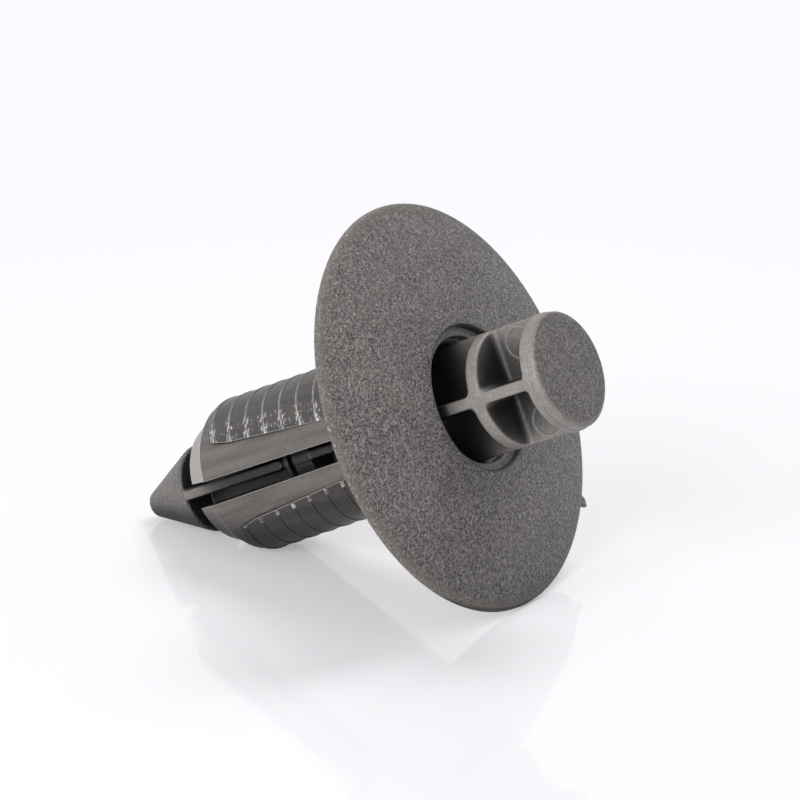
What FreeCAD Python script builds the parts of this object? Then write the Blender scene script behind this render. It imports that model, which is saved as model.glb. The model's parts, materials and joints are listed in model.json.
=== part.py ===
import FreeCAD, Part
import math
import os

# A two-piece push-in mounting clip, lying on its side with its pin pulled out.
# Each moulding is drawn about the clip's own axis first: z is 0 on the face that seats on
# the panel, +z runs out through the head of the pin, the legs lie at +x and -x, and the
# slots at +y and -y. Both are then laid on the floor together. All sizes are millimetres.

# Flange: a shallow dome with a thin rounded rim and a recess for the head of the pin
flange_diameter = 20.0
rim_land = 0.05
rim_radius = 0.25
corner_steps = 3
dome_rise = 1.38
flange_wall = 0.90
recess_margin = 0.67
recess_depth = 0.44
entry_margin = 0.26
entry_depth = 0.45
edge_break = 0.06
root_bevel = 0.35

# Broken stub of the moulding gate, on the rim, at this angle from the lower leg
gate_length = 0.38
gate_width = 0.62
gate_height = 0.24
gate_angle = 46.5

# Hollow shank, split by two slots into two legs that narrow inside towards their ends
leg_wall = 0.81
shank_length = 14.05
lead_length = 1.39
lead_depth = 0.81
lead_knee_length = 0.54
lead_knee_depth = 0.40
grip_ramp = 1.80
slot_start = 1.30
slot_width = 1.02
slot_end_width = 1.26

# Pads on the legs, each with low ribs across it; pads and ribs lean towards the leg's end
rib_count = 8
rib_pitch = 1.06
rib_width = 0.10
rib_height = 0.03
pad_height = 0.12
pad_taper = 0.10
pad_setback = 1.01
pad_step = 0.19
pad_lean = 18.5
pad_run_out = 1.56
pad_side = 1.33
pad_side_flare = 0.63
pad_knee = 0.85
pad_corner = 0.22
pad_turn = -1.4

# Push pin: head, crossed webs, and the disc that guides it in the flange
pin_diameter = 5.70
pin_fit = 0.08
pin_stroke = 5.32
pin_turn = -3.0
head_margin = 0.03
head_height = 0.80
head_step_height = 0.38
head_step = 0.06
head_round = 0.20
head_crown = 0.05
web_thickness = 0.55
neck_length = 2.52
guide_thickness = 0.69
guide_bevel = 0.10
thick_length = 9.50
taper_length = 0.80

# Slim front part of the pin, with fins in the slots, a collar, a groove and a thin disc
slim_diameter = 4.10
slim_fit = 0.05
slim_web_thickness = 0.48
fin_height = 0.15
collar_distance = 6.81
collar_length = 1.10
collar_bevel = 0.15
groove_width = 0.26
groove_depth = 0.75
thin_disc_thickness = 0.28

# Pointed tip, wider than the mouth between the legs, so that the pin stays in the body
cone_gap = 1.22
cone_catch = 0.11
cone_length = 3.65
cone_land = 0.21
tip_diameter = 1.26
tip_crown = 0.10

# Round marks that the ejectors left on the front of the upright web, beside the head
ejector_diameter = 1.30
ejector_depth = 0.04
ejector_offset = 1.75
ejector_from_head = 0.40

# Radii that follow from the sizes above
flange_radius = flange_diameter / 2
pin_radius = pin_diameter / 2
head_radius = pin_radius + head_margin
bore_radius = pin_radius + pin_fit
shank_radius = bore_radius + leg_wall
entry_radius = head_radius + entry_margin
recess_radius = head_radius + recess_margin
slim_radius = slim_diameter / 2
fin_radius = slim_radius + fin_height
grip_radius = slim_radius + slim_fit
cone_radius = grip_radius + cone_catch
tip_radius = tip_diameter / 2

# Heights along the axis, in the body and then along the pin as it stands pulled out
rim_height = rim_land + rim_radius
flange_top = rim_height + dome_rise
recess_floor = flange_top - recess_depth
entry_floor = recess_floor - entry_depth
leg_end = -shank_length
lead_start = leg_end + lead_length
pad_corner_radius = pad_side + pad_side_flare + pad_corner
first_rib = lead_start + pad_setback
last_rib = first_rib + (rib_count - 1) * rib_pitch
pad_top = last_rib + pad_run_out
head_top = flange_top + pin_stroke
head_under = head_top - head_height
guide_top = head_under - neck_length
guide_bottom = guide_top - guide_thickness
thick_end = head_under - thick_length
taper_end = thick_end - taper_length
ramp_top = thick_end - pin_stroke - pin_fit
ramp_end = ramp_top - grip_ramp
cone_base = leg_end - cone_gap
tip_end = cone_base - cone_length
collar_bottom = cone_base + collar_distance
collar_top = collar_bottom + collar_length
thin_disc_top = collar_bottom - groove_width
thin_disc_bottom = thin_disc_top - thin_disc_thickness

# The crown of the flange and its underside are two spheres with one centre on the axis
rim_top_radius = flange_radius - rim_radius
dome_depth = (rim_top_radius ** 2 - recess_radius ** 2 + dome_rise ** 2) / (2 * dome_rise)
dome_radius = math.hypot(recess_radius, dome_depth)
dome_centre = flange_top - dome_depth
under_radius = dome_radius - flange_wall
seat_radius = math.sqrt(under_radius ** 2 - dome_centre ** 2)

origin = FreeCAD.Vector(0, 0, 0)
axis = FreeCAD.Vector(0, 0, 1)
across = FreeCAD.Vector(0, 1, 0)


def point(radius, height):
    """A point of an outline: its distance from the axis, and its height along it."""
    return FreeCAD.Vector(radius, 0, height)


def wire(start, *steps):
    """Close an outline from points; a step that is a pair (via, to) is an arc."""
    edges = []
    here = start
    for step in steps + (start,):
        if isinstance(step, tuple):
            edges.append(Part.Arc(here, step[0], step[1]).toShape())
            here = step[1]
        else:
            edges.append(Part.LineSegment(here, step).toShape())
            here = step
    return Part.Wire(edges)


def turned(start, *steps):
    """Turn an outline once round the axis."""
    return Part.Face(wire(start, *steps)).revolve(origin, axis, 360)


def rounded_corner(centre_radius, centre_height, size):
    """An outer corner rounded in a few straight steps, so that it needs few facets."""
    corner = []
    for step in range(1, corner_steps + 1):
        angle = math.pi / 2 * step / corner_steps
        corner.append(point(centre_radius + size * math.cos(angle), centre_height + size * math.sin(angle)))
    return corner


def crown_arc(sphere, start, end):
    """An arc of one of the flange's two spheres, between two radii."""
    def at(radius):
        return point(radius, dome_centre + math.sqrt(sphere ** 2 - radius ** 2))
    return at((start + end) / 2), at(end)


def web(thickness, bottom, top):
    """A flat web through the axis that stands between the two legs' middles."""
    reach = 2 * pin_radius
    plate = Part.makeBox(2 * reach, thickness, top - bottom)
    plate.translate(FreeCAD.Vector(-reach, -thickness / 2, bottom))
    return plate


def cross(thickness, bottom, top):
    """Two webs at right angles."""
    upright = web(thickness, bottom, top)
    level = upright.copy()
    level.rotate(origin, axis, 90)
    return upright.fuse(level)


def pad_radius(height):
    """Radius of the pads' plain surface, a little smaller towards the flange."""
    along = (height - lead_start) / (pad_top - lead_start)
    return shank_radius + pad_height - pad_taper * along


def leaning(side, reach, height):
    """A point at a distance to one side, on the plane that crosses the pad's corner at a height."""
    return point(side * reach, height - (reach - pad_corner_radius) * math.tan(math.radians(pad_lean)))


def shank_and_flange():
    """The turned blank of the body, with its stepped bore."""
    under_edge = shank_radius + root_bevel
    under_height = dome_centre + math.sqrt(under_radius ** 2 - under_edge ** 2)
    crown_edge = recess_radius + edge_break
    crown_height = dome_centre + math.sqrt(dome_radius ** 2 - crown_edge ** 2)
    return turned(
        point(grip_radius, leg_end),
        point(shank_radius - lead_depth, leg_end),
        point(shank_radius - lead_knee_depth, lead_start - lead_knee_length),
        point(shank_radius, lead_start),
        point(shank_radius, under_height - root_bevel),
        point(under_edge, under_height),
        crown_arc(under_radius, under_edge, seat_radius),
        point(flange_radius, 0),
        point(flange_radius, rim_land),
        *rounded_corner(rim_top_radius, rim_land, rim_radius),
        crown_arc(dome_radius, rim_top_radius, crown_edge),
        point(recess_radius, crown_height - edge_break),
        point(recess_radius, recess_floor),
        point(entry_radius, recess_floor),
        point(entry_radius, entry_floor),
        point(bore_radius, entry_floor - (entry_radius - bore_radius)),
        point(bore_radius, ramp_top),
        point(grip_radius, ramp_end),
    )


def slot():
    """The wedge that parts the legs, round at its closed end and wider at the open one."""
    half = slot_width / 2
    round_centre = -slot_start - half
    past_end = leg_end - pad_height
    reach = 2 * shank_radius
    face = Part.Face(wire(
        point(-half, round_centre),
        (point(0, round_centre + half), point(half, round_centre)),
        point(slot_end_width / 2, past_end),
        point(-slot_end_width / 2, past_end),
    ))
    face.translate(FreeCAD.Vector(0, -reach, 0))
    return face.extrude(across * (2 * reach))


def pad_ring(proud):
    """A ring round the legs, as high as the pads and a given height more."""
    core = shank_radius - leg_wall / 2
    return turned(
        point(core, lead_start),
        point(pad_radius(lead_start) + proud, lead_start),
        point(pad_radius(pad_top) + proud, pad_top),
        point(core, pad_top),
    )


def across_leg(*corners):
    """A prism through the whole clip from front to back, turned as the pads are."""
    face = Part.Face(wire(*corners))
    face.translate(FreeCAD.Vector(0, -2 * shank_radius, 0))
    prism = face.extrude(across * (4 * shank_radius))
    prism.rotate(origin, axis, pad_turn)
    return prism


def pad_block(side):
    """The space of one leg's pad, which widens towards the end of the leg; side is 1 or -1."""
    reach = 2 * shank_radius
    return across_leg(
        point(side * pad_side, pad_top),
        point(side * reach, pad_top),
        leaning(side, reach, first_rib - pad_step),
        leaning(side, pad_corner_radius, first_rib - pad_step),
        point(side * (pad_side + pad_side_flare), first_rib + pad_knee),
    )


def rib_blocks(side):
    """The leaning slices in which the ribs of one leg's pad stand."""
    reach = 2 * shank_radius
    blocks = []
    for number in range(rib_count):
        bottom = first_rib + number * rib_pitch - rib_width / 2
        blocks.append(across_leg(
            leaning(side, 0, bottom),
            leaning(side, reach, bottom),
            leaning(side, reach, bottom + rib_width),
            leaning(side, 0, bottom + rib_width),
        ))
    return blocks


def pads():
    """The pads of both legs, and the ribs on them."""
    made = []
    for side in (1, -1):
        block = pad_block(side)
        made.append(pad_ring(0).common(block))
        ribs = pad_ring(rib_height).common(block)
        made += [ribs.common(rib_block) for rib_block in rib_blocks(side)]
    return made


def gate_stub():
    """What is left of the gate where the body was snapped off its runner."""
    root = flange_radius - rim_radius
    half = gate_width / 2
    face = Part.Face(Part.makePolygon([
        FreeCAD.Vector(root, -half, 0),
        FreeCAD.Vector(flange_radius + gate_length, -half / 2, 0),
        FreeCAD.Vector(flange_radius + gate_length / 2, half / 2, 0),
        FreeCAD.Vector(root, half, 0),
        FreeCAD.Vector(root, -half, 0),
    ]))
    stub = face.extrude(axis * gate_height)
    stub.rotate(origin, axis, gate_angle)
    return stub


def retainer_body():
    """The outer moulding: flange, hollow split shank and the pads on its legs."""
    return shank_and_flange().cut(slot()).fuse(pads() + [gate_stub()]).removeSplitter()


def pin_envelope():
    """The turned limit of the crossed webs: thick behind, slim and grooved in front."""
    groove_radius = slim_radius - groove_depth
    return turned(
        point(0, cone_base),
        point(slim_radius, cone_base),
        point(slim_radius, thin_disc_top),
        point(groove_radius, thin_disc_top),
        point(groove_radius, collar_bottom),
        point(slim_radius, collar_bottom),
        point(slim_radius, taper_end),
        point(pin_radius, thick_end),
        point(pin_radius, head_under),
        point(0, head_under),
    )


def fins():
    """The two edges that stand in the slots, with a round end before the thin disc."""
    half = slim_web_thickness / 2
    round_centre = thin_disc_bottom - half
    face = Part.Face(wire(
        point(-half, cone_base),
        point(-half, round_centre),
        (point(0, thin_disc_bottom), point(half, round_centre)),
        point(half, cone_base),
    ))
    face.translate(FreeCAD.Vector(0, -fin_radius, 0))
    strip = face.extrude(across * (2 * fin_radius))
    limit = Part.makeCylinder(fin_radius, thin_disc_bottom - cone_base, point(0, cone_base), axis)
    return strip.common(limit)


def ejector_marks():
    """Two shallow round recesses in the front face of the upright web."""
    marks = []
    for side in (1, -1):
        centre = FreeCAD.Vector(
            side * ejector_offset, -web_thickness / 2, head_under - ejector_from_head)
        marks.append(Part.makeCylinder(ejector_diameter / 2, ejector_depth, centre, across))
    return marks


def guide_disc():
    """The disc that guides the pin in the flange, with its edges broken."""
    return turned(
        point(0, guide_bottom),
        point(pin_radius - guide_bevel, guide_bottom),
        point(pin_radius, guide_bottom + guide_bevel),
        point(pin_radius, guide_top - guide_bevel),
        point(pin_radius - guide_bevel, guide_top),
        point(0, guide_top),
    )


def collar():
    """The solid ring that the legs close on, bevelled on the side of the head."""
    return turned(
        point(0, collar_bottom),
        point(slim_radius, collar_bottom),
        point(slim_radius, collar_top - collar_bevel),
        point(slim_radius - collar_bevel, collar_top),
        point(0, collar_top),
    )


def pin_head():
    """The head: a plain lower band, a small step, a rounded edge and a crowned top."""
    upper_radius = head_radius - head_step
    flat_radius = upper_radius - head_round
    sphere = (flat_radius ** 2 + head_crown ** 2) / (2 * head_crown)
    middle = flat_radius / 2
    middle_height = head_top + head_crown - sphere + math.sqrt(sphere ** 2 - middle ** 2)
    step_height = head_under + head_step_height
    return turned(
        point(0, head_under),
        point(head_radius, head_under),
        point(head_radius, step_height),
        point(upper_radius, step_height + head_step),
        point(upper_radius, head_top - head_round),
        *rounded_corner(flat_radius, head_top - head_round, head_round),
        (point(middle, middle_height), point(0, head_top + head_crown)),
    )


def pin_tip():
    """The cone, with a short land behind it and a blunt end."""
    sphere = (tip_radius ** 2 + tip_crown ** 2) / (2 * tip_crown)
    middle = tip_radius / 2
    middle_height = tip_end + sphere - math.sqrt(sphere ** 2 - middle ** 2)
    return turned(
        point(0, cone_base),
        point(cone_radius - edge_break, cone_base),
        point(cone_radius, cone_base - edge_break),
        point(cone_radius, cone_base - cone_land),
        point(tip_radius, tip_end + tip_crown),
        (point(middle, middle_height), point(0, tip_end)),
    )


def push_pin():
    """The inner moulding: head, crossed webs, discs, collar and tip."""
    thick = cross(web_thickness, thick_end, head_under)
    slim = cross(slim_web_thickness, cone_base, thick_end)
    webs = thick.fuse(slim).common(pin_envelope()).cut(ejector_marks())
    thin_disc = Part.makeCylinder(slim_radius, thin_disc_thickness, point(0, thin_disc_bottom), axis)
    discs = [guide_disc(), thin_disc, collar()]
    pin = webs.fuse(discs + [fins(), pin_head(), pin_tip()]).removeSplitter()
    pin.rotate(origin, axis, pin_turn)
    return pin


def rest_tilt():
    """Angle of the axis above the floor when the rim and the lower leg both touch it."""
    pad_front = leaning(1, shank_radius, first_rib - pad_step).z
    low_points = [
        (shank_radius - lead_depth, leg_end),
        (shank_radius - lead_knee_depth, lead_start - lead_knee_length),
        (shank_radius, lead_start),
        (pad_radius(pad_front) + rib_height, pad_front),
        (tip_radius, tip_end + tip_crown),
    ]
    return min(math.degrees(math.atan2(flange_radius - low, -height)) for low, height in low_points)


def lay_down(shapes):
    """Lean all shapes over together, and centre them on the floor."""
    for shape in shapes:
        shape.rotate(origin, across, 90 - rest_tilt())
    box = Part.makeCompound(shapes).optimalBoundingBox(False)
    for shape in shapes:
        shape.translate(FreeCAD.Vector(-box.Center.x, -box.Center.y, -box.ZMin))


def solid_of(shape):
    """The single solid that a shape holds."""
    return shape.Solids[0] if len(shape.Solids) == 1 else shape


nodes = {"retainer_body": solid_of(retainer_body()), "push_pin": solid_of(push_pin())}
lay_down(list(nodes.values()))
os.makedirs("parts", exist_ok=True)
for name, shape in nodes.items():
    shape.exportStep("parts/" + name + ".step")
    box = shape.BoundBox
    print(name, len(shape.Solids), shape.isValid(), round(shape.Volume, 2),
          [round(v, 3) for v in (box.XMin, box.XMax, box.YMin, box.YMax, box.ZMin, box.ZMax)])
print("tilt", round(rest_tilt(), 3))
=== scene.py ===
import bpy
import json
import math
import numpy as np
from mathutils import Matrix, Vector


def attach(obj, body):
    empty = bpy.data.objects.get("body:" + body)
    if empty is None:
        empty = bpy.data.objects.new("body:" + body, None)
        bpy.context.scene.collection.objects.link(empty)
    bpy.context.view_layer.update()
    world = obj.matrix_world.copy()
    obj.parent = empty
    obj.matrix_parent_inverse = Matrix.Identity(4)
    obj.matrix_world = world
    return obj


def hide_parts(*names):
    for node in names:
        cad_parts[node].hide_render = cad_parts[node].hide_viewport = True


# A push-in mounting clip lying on a glossy white floor. The body keeps its CAD shape. The pin is
# made again with the fillets and rounded edges of a moulding. Both get their plastics here.
# Sizes and places on the clip are in millimetres, from the seat of the flange: along its own
# axis (towards the head is positive), down through its lower leg, and to its front.
mm = 0.001

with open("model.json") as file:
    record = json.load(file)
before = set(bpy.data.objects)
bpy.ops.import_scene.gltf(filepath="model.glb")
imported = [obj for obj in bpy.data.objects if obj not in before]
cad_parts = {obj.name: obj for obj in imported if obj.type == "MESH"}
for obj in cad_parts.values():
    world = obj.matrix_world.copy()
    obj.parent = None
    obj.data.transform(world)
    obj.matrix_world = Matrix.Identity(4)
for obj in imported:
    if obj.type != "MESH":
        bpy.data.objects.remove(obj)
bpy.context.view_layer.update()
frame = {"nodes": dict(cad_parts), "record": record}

# The clip's own axes in the frame: out through the head, down through the lower leg, and to the front
seat_mount = next(m for m in frame["record"]["mounts"] if m["name"] == "panel_seat")
outwards = -Vector(seat_mount["axis"])
to_front = Vector((0, -1, 0))
downwards = outwards.cross(to_front)
seat_centre = Vector((seat_mount["pos_m"][0], 0, seat_mount["pos_m"][2]))

# Camera, as fitted to the photograph's ellipses
camera_aim = Vector((2.7136, -1.2190, 9.1924)) * mm
camera_distance = 189.13 * mm
camera_azimuth = math.radians(31.4233)
camera_elevation = math.radians(17.4382)
camera_roll = math.radians(-1.3663)
camera_lens = 180
camera_sensor = 36

# Lights
sky_strength = 0.47
sky_seen = 0.97
key_place = Vector((-0.02, -0.31, 0.10))
key_size = 0.22
key_power = 1.08
back_place = Vector((-0.01, 0.17, 0.25))
back_size = 0.12
back_power = 0.40
floor_glow_near = 0.32
floor_glow_far = 0.85
glow_starts = 16
glow_full = 75
floor_white = (0.955, 0.947, 0.985)
floor_sheet = (0.86, 0.855, 0.88)
floor_seen = (0.955, 0.945, 0.975)

# The body: places along the axis, how far the pads' side edges lie from the front, and radii
flange_edge = -0.6
recess_floor = 1.24
pad_top = -2.67
pad_knee = -10.80
first_rib = -11.65
lead_start = -12.66
rib_pitch = 1.06
rib_lean = math.tan(math.radians(18.5))
rib_from = 2.18
pad_side_low = 1.96
pad_side_high = 1.33
shank_radius = 3.74
rim_radius = 9.75
recess_radius = 3.55
ledge_inside = 2.97

# The pin: places along the axis, radii and thicknesses
pin_turn = math.radians(-3)
head_top = 7.00
head_step_at = 6.58
head_under = 6.20
guide_top = 3.68
guide_bottom = 2.99
thick_end = -3.30
taper_end = -4.10
collar_top = -7.36
collar_bottom = -8.46
thin_disc_top = -8.72
thin_disc_bottom = -9.00
cone_base = -15.27
tip_end = -18.92
pin_radius = 2.85
head_radius = 2.88
head_upper_radius = 2.82
slim_radius = 2.05
groove_radius = 1.30
fin_radius = 2.20
cone_radius = 2.21
cone_land = 0.21
tip_radius = 0.63
tip_crown = 0.10
head_crown = 0.05
web_half = 0.275
slim_web_half = 0.24
ejector_offset = 1.90
ejector_height = 5.00
ejector_radius = 0.75
ejector_line = 0.07
ejector_crest = 0.025
ejector_ridge = 0.035
ejector_foot = 0.04
pin_pivot = -9.2
pin_sag = math.radians(0.39)

# Its fillets and rounded edges, how far its parts run into each other, and the steps of its mesh
web_fillet = 0.16
web_edge = 0.07
guide_fillet = 0.34
guide_edge = 0.14
disc_fillet = 0.08
disc_edge = 0.06
head_fillet = 0.24
head_edge = 0.22
band_edge = 0.07
band_fillet = 0.03
fin_fillet = 0.05
fin_edge = 0.06
cone_fillet = 0.12
cone_edge = 0.08
run_in = 0.2
skin_step = 0.09
dome_steps = 6
ring_steps = 64

# The room that the pin slides in: radii inside the body, half the width to use in the slots, and
# the place on the pin that meets the wider entry when the pin is pushed home
entry_radius = 3.14
bore_radius = 2.93
grip_radius = 2.10
slot_room = 0.45
bore_gap = 0.02
entry_meets = 5.90

# Finishes
dark_grain = (0.033, 0.029, 0.027)
light_grain = (0.408, 0.379, 0.364)
leg_grey = (0.068, 0.062, 0.057)
leg_pale = (0.122, 0.114, 0.106)
pad_grey = (0.026, 0.023, 0.021)
pad_pale = (0.050, 0.045, 0.042)
ledge_painted_sheen = (0.24, 0.23, 0.22)
pin_grey = (0.252, 0.237, 0.225)
pin_dark = (0.178, 0.166, 0.157)
wear_and_highlight_grey = (0.36, 0.35, 0.34)
pale_scuff = (0.66, 0.65, 0.64)
rim_brown = (0.255, 0.222, 0.200)
painted_shade_grey = (0.006, 0.005, 0.005)
grain_size = 0.26
body_relief = 0.095
pin_relief = 0.055
edge_width = 0.08
edge_shade_reach = 0.3
hollow_reach = 3.0


def between(value, low, high):
    """Distance to a slab between two planes: negative inside."""
    return np.maximum(low - value, value - high)


def rounded_edge(first, second, size):
    """Distance to what two faces enclose, with the edge between them rounded."""
    first, second = first + size, second + size
    outside = np.hypot(np.maximum(first, 0), np.maximum(second, 0))
    return outside + np.minimum(np.maximum(first, second), 0) - size


def joined(first, second, fillet):
    """Distance to two solids as one, with a fillet where they meet."""
    near = np.maximum(fillet - np.abs(first - second), 0) / fillet
    return np.minimum(first, second) - near * near * fillet / 4


def turned(outline, radius, along):
    """Distance to a solid turned round the axis from a closed outline of (radius, height) points."""
    nearest = np.full(radius.shape, np.inf)
    inside = np.zeros(radius.shape, bool)
    for (r0, z0), (r1, z1) in zip(outline, outline[1:] + outline[:1]):
        dr, dz = r1 - r0, z1 - z0
        part = np.clip(((radius - r0) * dr + (along - z0) * dz) / (dr * dr + dz * dz), 0, 1)
        nearest = np.minimum(nearest, np.hypot(radius - r0 - part * dr, along - z0 - part * dz))
        if dz:
            crossed = ((along < z0) != (along < z1)) & (radius < r0 + (along - z0) * dr / dz)
            inside ^= crossed
    return np.where(inside, -nearest, nearest)


def crossed_webs(x, y, along, radius):
    """The two webs, thick behind and slim in front, with the groove."""
    reach = np.interp(along, (taper_end, thick_end), (slim_radius, pin_radius))
    half = np.interp(along, (taper_end, thick_end), (slim_web_half, web_half))
    level, upright = (rounded_edge(np.abs(across) - half, radius - reach, web_edge) for across in (x, y))
    length = between(along, cone_base - run_in, head_under + run_in)
    webs = np.maximum(joined(level, upright, web_fillet), length)
    groove = np.maximum(groove_radius - radius, between(along, thin_disc_top, collar_bottom))
    return np.maximum(webs, -groove)


def pin_cone(radius, along):
    """The cone, with its land and a domed blunt end."""
    sphere = (tip_radius ** 2 + tip_crown ** 2) / (2 * tip_crown)
    widest = math.asin(tip_radius / sphere)
    angles = [widest * k / dome_steps for k in range(dome_steps, -1, -1)]
    dome = [(sphere * math.sin(angle), tip_end + sphere * (1 - math.cos(angle))) for angle in angles]
    outline = [(-1, cone_base), (cone_radius - cone_edge, cone_base), (cone_radius, cone_base - cone_edge),
               (cone_radius, cone_base - cone_land)]
    return turned(outline + dome + [(-1, tip_end)], radius, along)


def pin_head(radius, along):
    """The head: a lower band, a small step, a rounded edge and a slightly crowned top."""
    band = rounded_edge(radius - head_radius, between(along, head_under, head_step_at), band_edge)
    crown = head_crown * (1 - (radius / head_upper_radius) ** 2)
    height = between(along, head_under + run_in / 2, head_top + crown)
    return joined(band, rounded_edge(radius - head_upper_radius, height, head_edge), band_fillet)


def room_to_slide(x, y, along):
    """Distance to the room of the leaning pin over its stroke: bore, slots, and all past the body."""
    x = x + (along - pin_pivot) * math.tan(pin_sag)
    bore = np.interp(along, (taper_end, thick_end, entry_meets, entry_meets + 0.1),
                     (grip_radius, bore_radius, bore_radius, entry_radius)) - bore_gap
    return np.minimum(np.hypot(x, y) - bore, np.minimum(np.abs(x) - slot_room, along - cone_base))


def push_pin_distance(x, y, along):
    """Distance to the whole pin, negative inside it, in the clip's own millimetres."""
    room = room_to_slide(x, y, along)
    x, y = (x * math.cos(pin_turn) + y * math.sin(pin_turn),
            y * math.cos(pin_turn) - x * math.sin(pin_turn))
    radius = np.hypot(x, y)
    pin = crossed_webs(x, y, along, radius)
    guide = rounded_edge(radius - pin_radius, between(along, guide_bottom, guide_top), guide_edge)
    pin = joined(pin, guide, guide_fillet)
    for bottom, top in ((thin_disc_bottom, thin_disc_top), (collar_bottom, collar_top)):
        disc = rounded_edge(radius - slim_radius, between(along, bottom, top), disc_edge)
        pin = joined(pin, disc, disc_fillet)
    pin = np.maximum(pin, radius - np.where(along > head_under - run_in / 2, head_radius, pin_radius))
    pin = joined(pin, pin_head(radius, along), head_fillet)
    pin = np.maximum(pin, radius - head_radius)
    past_round = np.maximum(along - thin_disc_bottom + slim_web_half, 0)
    fins = rounded_edge(np.hypot(x, past_round) - slim_web_half, radius - fin_radius, fin_edge)
    pin = joined(pin, np.maximum(fins, cone_base - run_in - along), fin_fillet)
    return np.maximum(joined(pin, pin_cone(radius, along), cone_fillet), room)


def skin(distance, low, high, step):
    """Corners, faces and normals of the surface where a distance is zero, on a cube grid.

    Each cell that the surface passes gets one corner, and each grid edge that it cuts one face."""
    axes = [np.arange(a, b + step, step) for a, b in zip(low, high)]
    field = distance(*np.meshgrid(*axes, indexing="ij"))
    size = np.array(field.shape)
    offsets = [np.array((i, j, k)) for i in (0, 1) for j in (0, 1) for k in (0, 1)]
    corner = {tuple(o): field[tuple(slice(a, n - 1 + a) for a, n in zip(o, size))] for o in offsets}
    filled = sum((c < 0).astype(int) for c in corner.values())
    active = (filled > 0) & (filled < 8)
    cells = np.argwhere(active)
    number = np.full(active.shape, -1)
    number[active] = np.arange(len(cells))

    total = np.zeros((len(cells), 3))
    count = np.zeros(len(cells))
    for o in offsets:
        for k in range(3):
            if o[k]:
                continue
            first = corner[tuple(o)][active]
            second = corner[tuple(o + np.eye(3, dtype=int)[k])][active]
            cut = (first < 0) != (second < 0)
            place = cells + o.astype(float)
            place[:, k] += np.where(cut, first / np.where(cut, first - second, 1), 0)
            total[cut] += place[cut]
            count += cut
    points = total / count[:, None] * step + np.array(low)

    faces = []
    for k in range(3):
        p, q = (k + 1) % 3, (k + 2) % 3
        here = [slice(1, n - 1) for n in size]
        here[k] = slice(0, size[k] - 1)
        there = list(here)
        there[k] = slice(1, size[k])
        first, second = field[tuple(here)] < 0, field[tuple(there)] < 0
        start = np.array([s.start for s in here])
        for edges, order in ((first & ~second, (0, 1, 2, 3)), (~first & second, (3, 2, 1, 0))):
            at = np.argwhere(edges) + start
            ring = []
            for dp, dq in ((-1, -1), (0, -1), (0, 0), (-1, 0)):
                cell = at.copy()
                cell[:, p] += dp
                cell[:, q] += dq
                ring.append(number[tuple(cell.T)])
            faces.append(np.stack([ring[i] for i in order], 1))

    def slope(places):
        steps = np.eye(3) * step / 8
        rises = [distance(*(places + d).T) - distance(*(places - d).T) for d in steps]
        return np.stack(rises, 1) / (step / 4)

    # Three steps of Newton's method put the corners on the surface
    for _ in range(3):
        gradient = slope(points)
        gradient /= np.maximum((gradient ** 2).sum(1, keepdims=True), 0.25)
        move = distance(*points.T)[:, None] * gradient
        points -= np.clip(move, -step / 2, step / 2)
    normals = slope(points)
    normals /= np.linalg.norm(normals, axis=1, keepdims=True)
    return points, np.concatenate(faces), normals


def ejector_rings():
    """The thin raised rings round the ejector marks, on the front of the upright web."""
    profile = ((-ejector_line, -ejector_foot), (-ejector_crest, ejector_ridge),
               (ejector_crest, ejector_ridge), (ejector_line, -ejector_foot))
    points, faces, normals = [], [], []
    for side in (1, -1):
        first = len(points)
        for k in range(ring_steps):
            angle = 2 * math.pi * k / ring_steps
            for out, high in profile:
                radius = ejector_radius + out
                x = side * ejector_offset + radius * math.cos(angle)
                along = ejector_height + radius * math.sin(angle)
                points.append((x, -web_half - high, along))
                lean = 0.8 * np.sign(out) * (high < 0)
                normals.append((lean * math.cos(angle), -math.sqrt(1 - lean ** 2), lean * math.sin(angle)))
            for j in range(len(profile) - 1):
                here, there = 4 * k + j, 4 * ((k + 1) % ring_steps) + j
                faces.append([first + i for i in (here, here + 1, there + 1, there)])
    return np.array(points), faces, np.array(normals)


def push_pin(material):
    """The pin as a rounded moulding in place of its CAD node, hanging a little in its bore."""
    reach = head_radius + 2 * skin_step
    points, faces, normals = skin(
        push_pin_distance, (-reach, -reach, tip_end - 2 * skin_step),
        (reach, reach, head_top + 3 * skin_step), skin_step)
    ring_points, ring_faces, ring_normals = ejector_rings()
    c, s = math.cos(pin_turn), math.sin(pin_turn)
    about_axis = np.array([[c, s, 0], [-s, c, 0], [0, 0, 1]])
    faces = faces.tolist() + [[len(points) + i for i in face] for face in ring_faces]
    points = np.concatenate([points, ring_points @ about_axis])
    normals = np.concatenate([normals, ring_normals @ about_axis])
    points[:, 0] += (points[:, 2] - pin_pivot) * math.tan(pin_sag)
    turn = np.array([downwards, -to_front, outwards])
    mesh = bpy.data.meshes.new("rounded_push_pin")
    mesh.from_pydata((points * mm) @ turn + np.array(seat_centre), [], faces)
    mesh.shade_smooth()
    mesh.normals_split_custom_set_from_vertices(normals @ turn)
    mesh.materials.append(material)
    pin = bpy.data.objects.new("rounded_push_pin", mesh)
    bpy.context.scene.collection.objects.link(pin)
    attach(pin, "pin")
    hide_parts("push_pin")


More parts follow.
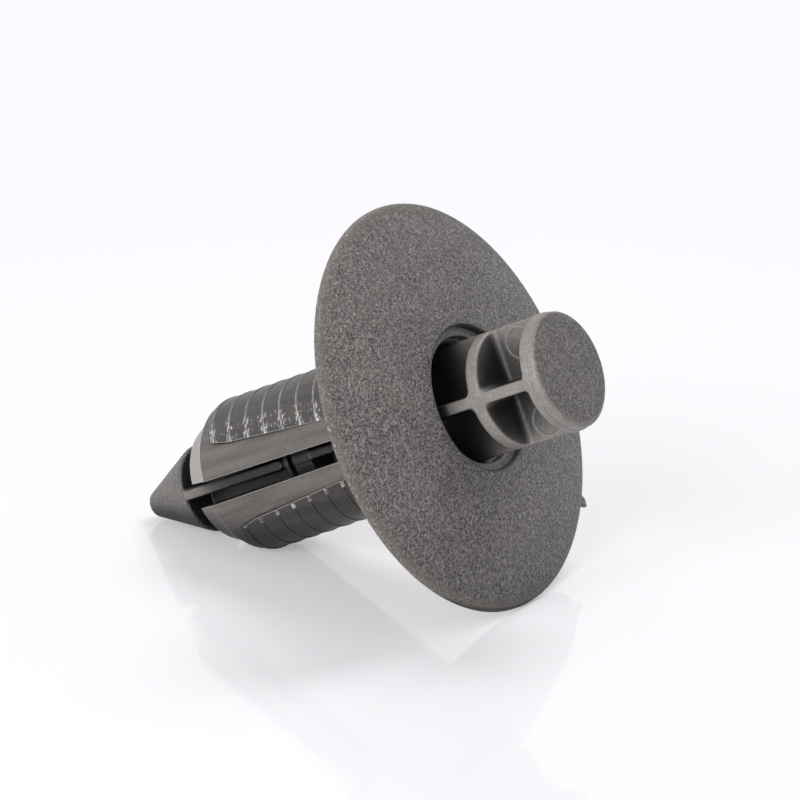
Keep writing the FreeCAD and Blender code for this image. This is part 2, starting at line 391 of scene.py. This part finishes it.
class Value:
    """An output socket, on which plain arithmetic adds Math nodes."""

    def __init__(self, nodes, socket):
        self.nodes = nodes
        self.socket = socket

    def maths(self, operation, *values):
        return self.nodes.node("ShaderNodeMath", {"operation": operation}, dict(enumerate(values)))

    def __add__(self, other):
        return self.maths("ADD", self, other)

    def __sub__(self, other):
        return self.maths("SUBTRACT", self, other)

    def __rsub__(self, other):
        return self.maths("SUBTRACT", other, self)

    def __mul__(self, other):
        return self.maths("MULTIPLY", self, other)

    def __truediv__(self, other):
        return self.maths("DIVIDE", self, other)

    def __abs__(self):
        return self.maths("ABSOLUTE", self)

    def root(self):
        return self.maths("SQRT", self)

    def fraction(self):
        return self.maths("FRACT", self)

    def angle_from(self, other):
        return self.maths("ARCTAN2", self, other)

    def larger(self, other):
        return self.maths("MAXIMUM", self, other)

    __radd__ = __add__
    __rmul__ = __mul__


class Nodes:
    """An emptied node tree, and the shorthand for the nodes that go into it."""

    def __init__(self, owner):
        owner.use_nodes = True
        self.tree = owner.node_tree
        self.tree.nodes.clear()

    def node(self, kind, settings=None, values=None, out=0):
        """Add a node, with its settings first and then the values or links of its sockets."""
        made = self.tree.nodes.new(kind)
        for name, setting in (settings or {}).items():
            setattr(made, name, setting)
        for name, value in (values or {}).items():
            if isinstance(value, Value):
                self.tree.links.new(value.socket, made.inputs[name])
            else:
                made.inputs[name].default_value = value
        return Value(self, made.outputs[out]) if made.outputs else None

    def rise(self, value, start, end):
        """0 where value is at start, 1 where it is at end, and smooth between them."""
        return self.node("ShaderNodeMapRange", {"interpolation_type": "SMOOTHSTEP"},
                         {"Value": value, "From Min": start, "From Max": end})

    def band(self, value, low, high, soft):
        """1 between two values, with soft ends."""
        return self.rise(value, low - soft, low + soft) * self.rise(value, high + soft, high - soft)

    def blend(self, factor, first, second):
        """Mix two colours, for which the Mix node has inputs 6 and 7 and output 2."""
        first, second = (c if isinstance(c, Value) else c + (1,) for c in (first, second))
        return self.node("ShaderNodeMix", {"data_type": "RGBA"}, {0: factor, 6: first, 7: second}, 2)

    def vector(self, operation, first, second, out=0):
        return self.node("ShaderNodeVectorMath", {"operation": operation}, {0: first, 1: second}, out)

    def noise(self, place, scale, detail=2.0, roughness=0.5, distortion=0.0):
        return self.node("ShaderNodeTexNoise", None, {
            "Vector": place, "Scale": scale, "Detail": detail, "Roughness": roughness,
            "Distortion": distortion})

    def place(self, x, y, z=0.0):
        return self.node("ShaderNodeCombineXYZ", None, {0: x, 1: y, 2: z})


class Finish(Nodes):
    """A material of the clip or the floor."""

    def __init__(self, name):
        self.material = bpy.data.materials.new(name)
        super().__init__(self.material)

    def clip_axes(self):
        """The point's distances along the axis, down and to the front, and its radius."""
        place = self.node("ShaderNodeTexCoord", out="Object")
        from_seat = self.vector("SUBTRACT", place, tuple(seat_centre))
        along, down, front = (
            self.vector("DOT_PRODUCT", from_seat, tuple(direction), out="Value") / mm
            for direction in (outwards, downwards, to_front))
        radius = (down * down + front * front).root()
        return along, down, front, radius

    def edges(self):
        """Where a convex edge is near, and the normal that rounds every edge off."""
        rounded = self.node("ShaderNodeBevel", {"samples": 8}, {"Radius": edge_width * mm})
        true = self.node("ShaderNodeNewGeometry", out="Normal")
        turn = 1 - self.vector("DOT_PRODUCT", rounded, true, out="Value")
        open_sky = self.open_sky(edge_shade_reach, 6)
        return self.rise(turn, 0.01, 0.14) * self.rise(open_sky, 0.62, 0.9), rounded

    def open_sky(self, reach, samples):
        """How much of what lies round a point, as far as the reach, is open."""
        return self.node("ShaderNodeAmbientOcclusion", {"samples": samples}, {"Distance": reach * mm}, "AO")

    def hollows(self):
        """How deep a point lies in a pocket or bore: 0 in the open, 1 where little light gets in."""
        return self.rise(self.open_sky(hollow_reach, 8), 0.95, 0.38)

    def surface(self, colour, roughness, height, depth, normal=None):
        """The plastic's surface: its colour, its roughness, and a fine relief of the given depth."""
        relief = {"Strength": 1.0, "Distance": depth * mm, "Height": height}
        if normal:
            relief["Normal"] = normal
        bumped = self.node("ShaderNodeBump", None, relief)
        shader = self.node("ShaderNodeBsdfPrincipled", None, {
            "Base Color": colour, "Roughness": roughness, "Specular IOR Level": 0.45,
            "Normal": bumped})
        self.node("ShaderNodeOutputMaterial", None, {"Surface": shader})
        return self.material


def body_plastic():
    """Dark warm grey nylon: spark-eroded grain on the flange, plain and scuffed on the legs, with painted
    highlights along its edges and painted shade in its bore and slots.
    """
    finish = Finish("body_plastic")
    along, down, front, radius = finish.clip_axes()
    place = finish.place(down, front, along)
    edge_wear_and_highlight, rounded = finish.edges()

    # Short sharp squiggles with finer specks between them on the flange
    flange = finish.rise(along, flange_edge - 0.3, flange_edge + 0.3)
    legs = 1 - flange
    squiggle = finish.rise(finish.noise(place, 1.6 / grain_size, 2.5, 0.62, 0.6), 0.4, 0.62)
    speck = finish.rise(finish.noise(place, 2.9 / grain_size, 1.0, 0.5), 0.42, 0.6)
    mottle = finish.rise(finish.noise(place, 0.5, 3.0, 0.6), 0.3, 0.72)
    grain = squiggle * 0.38 + speck * 0.46 + mottle * 0.1
    colour = finish.blend(grain, dark_grain, light_grain)
    brown = finish.rise(radius, rim_radius - 0.35, rim_radius + 0.1) * flange
    colour = finish.blend(brown * 0.6, colour, rim_brown)

    # The legs: smoother, with faint streaks along them
    angle = down.angle_from(front)
    streaks = finish.noise(finish.place(angle * 5, along * 0.16), 1.0, 1.5, 0.5)
    fine = finish.noise(place, 7.0, 2.0, 0.6)
    smooth = finish.blend(finish.rise(streaks + fine * 0.35, 0.48, 0.86), leg_grey, leg_pale)

    # Darker pads, with a painted highlight on the crests of the ribs of the upper pad, partly rubbing
    pads = finish.band(along, first_rib - 0.6, pad_top, 0.05)
    pads = pads * finish.rise(radius, shank_radius + 0.01, shank_radius + 0.03)
    pad_skin = finish.blend(finish.rise(streaks + fine * 0.7, 0.6, 1.05), pad_grey, pad_pale)
    colour = finish.blend(legs, colour, finish.blend(pads, smooth, pad_skin))
    count = (along - first_rib + (abs(down) - rib_from) * rib_lean) / rib_pitch
    from_crest = abs((count + 20.5).fraction() - 0.5)
    upper = finish.rise(down, 0.2, -0.2)
    patchy = finish.rise(finish.noise(finish.place(down, front, along * 0.3), 2.6, 3.0, 0.6), 0.3, 0.62)
    low = finish.rise(angle, math.radians(-76), math.radians(-58))
    crest = finish.rise(from_crest, 0.09, 0.03) * pads * low * (patchy * 0.8 + 0.2) * upper * 0.5

    # Scuffs above the side edge of the upper pad, a painted sheen in the same band, and nicks where the
    # ribs meet the edges
    edge_at = finish.node("ShaderNodeMapRange", None, {
        "Value": along, "From Min": pad_knee, "From Max": pad_top,
        "To Min": pad_side_low, "To Max": pad_side_high})
    past_edge = abs(down) - edge_at
    near_edge = finish.band(past_edge, 0.15, 0.95, 0.3) * upper * pads
    flecks = finish.noise(finish.place(angle * 11, along * 8), 1.0, 3.0, 0.7)
    flecks = finish.rise(flecks - finish.rise(from_crest, 0.1, 0.32) * 0.1, 0.49, 0.6) * near_edge
    nicks = finish.rise(from_crest, 0.12, 0.04) * pads * finish.band(past_edge, -0.02, 0.22, 0.06)
    lead = finish.rise(along, lead_start + 0.02, lead_start - 0.06) * finish.rise(radius, 2.6, 2.9)

    plain_pad = pads * (1 - upper * low) * finish.rise(past_edge, 0.06, 0.14)
    # Painted highlight along the convex edges, partly wear: stronger on the legs, none across the lower
    # pad, which lies in shade
    colour = finish.blend(edge_wear_and_highlight * (legs * 0.5 + 0.25) * (1 - plain_pad), colour, wear_and_highlight_grey)
    # Painted highlight on the rib crests, on the lit upper pad only
    colour = finish.blend(crest, colour, wear_and_highlight_grey)
    # Painted sheen on the band above the upper pad's side edge
    colour = finish.blend(near_edge * 0.12, colour, leg_pale)
    colour = finish.blend(flecks * 0.75, colour, pale_scuff)
    colour = finish.blend(nicks * patchy * 0.8, colour, pale_scuff)
    # Painted highlight on the lead chamfer: strong on the upper leg, faint on the lower
    colour = finish.blend(lead * (upper * 0.58 + 0.06), colour, wear_and_highlight_grey)

    # A smooth ledge in the recess with a painted sheen, and painted shade in the bore, the slots and other
    # hollows
    ledge = finish.band(radius, ledge_inside, recess_radius - 0.03, 0.03)
    ledge = ledge * finish.band(along, 0.7, recess_floor + 0.03, 0.02)
    # Painted shade where little light gets in, spared on the ledge
    colour = finish.blend(finish.hollows() * (1 - ledge) * 0.9, colour, painted_shade_grey)
    # Painted sheen on the ledge of the recess
    colour = finish.blend(ledge * 0.45, colour, ledge_painted_sheen)

    outside = finish.rise(radius, recess_radius, recess_radius + 0.15)
    height = (squiggle + speck * 0.5) * flange * outside + fine * (legs * 0.1)
    roughness = squiggle * flange * -0.08 + (0.46 + legs * -0.06)
    return finish.surface(colour, roughness, height, body_relief, rounded)


def pin_plastic():
    """The same nylon on the pin: grain on the head and cone, a rubbed collar, pale ejector rings, painted
    highlights along its edges and painted shade inside the shank and in its pockets.
    """
    finish = Finish("pin_plastic")
    along, down, front, radius = finish.clip_axes()
    place = finish.place(down, front, along)
    edge_wear_and_highlight, _ = finish.edges()

    top = finish.rise(along, head_top - 0.2, head_top - 0.08) * finish.rise(radius, 2.78, 2.55)
    cone = finish.rise(along, cone_base + 0.02, cone_base - 0.05)
    squiggle = finish.rise(finish.noise(place, 1.6 / grain_size, 2.5, 0.62, 0.5), 0.4, 0.62)
    speck = finish.rise(finish.noise(place, 2.9 / grain_size, 1.0, 0.5), 0.42, 0.6)
    mottle = finish.rise(finish.noise(place, 0.8, 3.0, 0.6), 0.3, 0.72)
    fine = finish.noise(place, 8.0, 2.0, 0.6)
    grain = squiggle * 0.4 + speck * 0.42 + mottle * 0.14

    smooth = finish.blend(finish.rise(fine + mottle * 0.25, 0.42, 0.85), pin_dark, pin_grey)
    coarse = finish.blend(grain * 0.66, dark_grain, light_grain)
    colour = finish.blend(top + cone * 0.7, smooth, coarse)
    colour = finish.blend(cone * 0.35, colour, leg_grey)
    rubbed = finish.band(along, collar_bottom, collar_top, 0.02) * finish.rise(radius, 1.9, 2.0)
    streaks = finish.noise(finish.place(down * 9, front * 9, along * 1.2), 1.0, 3.0, 0.6)
    colour = finish.blend(rubbed * finish.rise(streaks, 0.42, 0.66) * 0.4, colour, wear_and_highlight_grey)
    # Painted highlight along the convex edges of the pin, partly wear
    colour = finish.blend(edge_wear_and_highlight * 0.7, colour, wear_and_highlight_grey)
    # Painted shade on the slim part of the pin inside the shank, where the legs shade it
    in_shank = finish.rise(along, thick_end, taper_end) * (1 - cone)
    colour = finish.blend(in_shank * 0.45, colour, pad_grey)
    # Painted shade in the pockets between the webs and in the bore
    colour = finish.blend(finish.hollows() * 0.95, colour, painted_shade_grey)
    across = abs(down - (along - pin_pivot) * math.tan(pin_sag)) - ejector_offset
    above = along - ejector_height
    from_ring = abs((across * across + above * above).root() - ejector_radius)
    ring = finish.rise(from_ring, 0.08, 0.03) * finish.rise(front, 0.1, 0.15)
    ring = ring * finish.rise(radius, 2.8, 2.7)
    colour = finish.blend(ring * 0.2, colour, wear_and_highlight_grey)

    height = (squiggle + speck * 0.5) * (top + cone * 0.6) + fine * 0.35
    roughness = squiggle * top * -0.08 + 0.44
    return finish.surface(colour, roughness, height, pin_relief)


def white_floor():
    """A glossy white sheet that keeps a faint mirror image and the clip's shadow."""
    corners = [(-1, -1, 0), (1, -1, 0), (1, 1, 0), (-1, 1, 0)]
    mesh = bpy.data.meshes.new("floor")
    mesh.from_pydata(corners, [], [(0, 1, 2, 3)])
    floor = bpy.data.objects.new("floor", mesh)
    bpy.context.scene.collection.objects.link(floor)
    finish = Finish("white_floor")
    seen = finish.node("ShaderNodeLightPath", out="Is Camera Ray")
    gloss = finish.node("ShaderNodeBsdfPrincipled", None, {
        "Base Color": finish.blend(seen, floor_sheet, floor_seen), "Roughness": 0.07, "IOR": 1.4})
    glow = finish.node("ShaderNodeEmission", None, {"Color": floor_white + (1,)})
    place = finish.node("ShaderNodeTexCoord", out="Object")
    far = finish.rise(finish.vector("LENGTH", place, (0, 0, 0), out="Value") / mm, glow_starts, glow_full)
    share = far * (floor_glow_far - floor_glow_near) + floor_glow_near
    mixed = finish.node("ShaderNodeMixShader", None, {0: seen * share, 1: gloss, 2: glow})
    finish.node("ShaderNodeOutputMaterial", None, {"Surface": mixed})
    mesh.materials.append(finish.material)


def soft_light():
    """A white room all round, a large lamp in front on the left, and a smaller one above and behind."""
    world = bpy.data.worlds.new("studio")
    room = Nodes(world)
    seen = room.node("ShaderNodeLightPath", out="Is Camera Ray")
    seen = seen.larger(room.node("ShaderNodeLightPath", out="Is Glossy Ray"))
    white = room.node("ShaderNodeBackground", None, {
        "Color": (1, 1, 1, 1), "Strength": seen * (sky_seen - sky_strength) + sky_strength})
    room.node("ShaderNodeOutputWorld", None, {"Surface": white})
    bpy.context.scene.world = world

    for name, place, size, power in (
            ("key", key_place, key_size, key_power), ("back", back_place, back_size, back_power)):
        lamp = bpy.data.lights.new(name, "AREA")
        lamp.size = size
        lamp.energy = power
        softbox = bpy.data.objects.new(name, lamp)
        softbox.location = place
        softbox.rotation_mode = "QUATERNION"
        softbox.rotation_quaternion = place.to_track_quat("Z", "Y")
        bpy.context.scene.collection.objects.link(softbox)


def camera():
    """The camera at the photograph's place, with its slight roll."""
    back = Vector((
        math.sin(camera_azimuth) * math.cos(camera_elevation),
        -math.cos(camera_azimuth) * math.cos(camera_elevation),
        math.sin(camera_elevation)))
    level = (-back).cross(Vector((0, 0, 1))).normalized()
    right = Matrix.Rotation(camera_roll, 3, -back) @ level
    up = back.cross(right)
    data = bpy.data.cameras.new("camera")
    data.sensor_width = camera_sensor
    data.lens = camera_lens
    data.clip_start = 0.01
    data.clip_end = 10
    made = bpy.data.objects.new("camera", data)
    turn = Matrix((right, up, back)).transposed().to_4x4()
    made.matrix_world = Matrix.Translation(camera_aim + back * camera_distance) @ turn
    bpy.context.scene.collection.objects.link(made)
    bpy.context.scene.camera = made


def dress(node, material):
    """Give a CAD node its finish."""
    mesh = frame["nodes"][node].data
    mesh.materials.clear()
    mesh.materials.append(material)


camera()
white_floor()
soft_light()
dress("retainer_body", body_plastic())
push_pin(pin_plastic())
bpy.context.scene.view_settings.view_transform = "Standard"
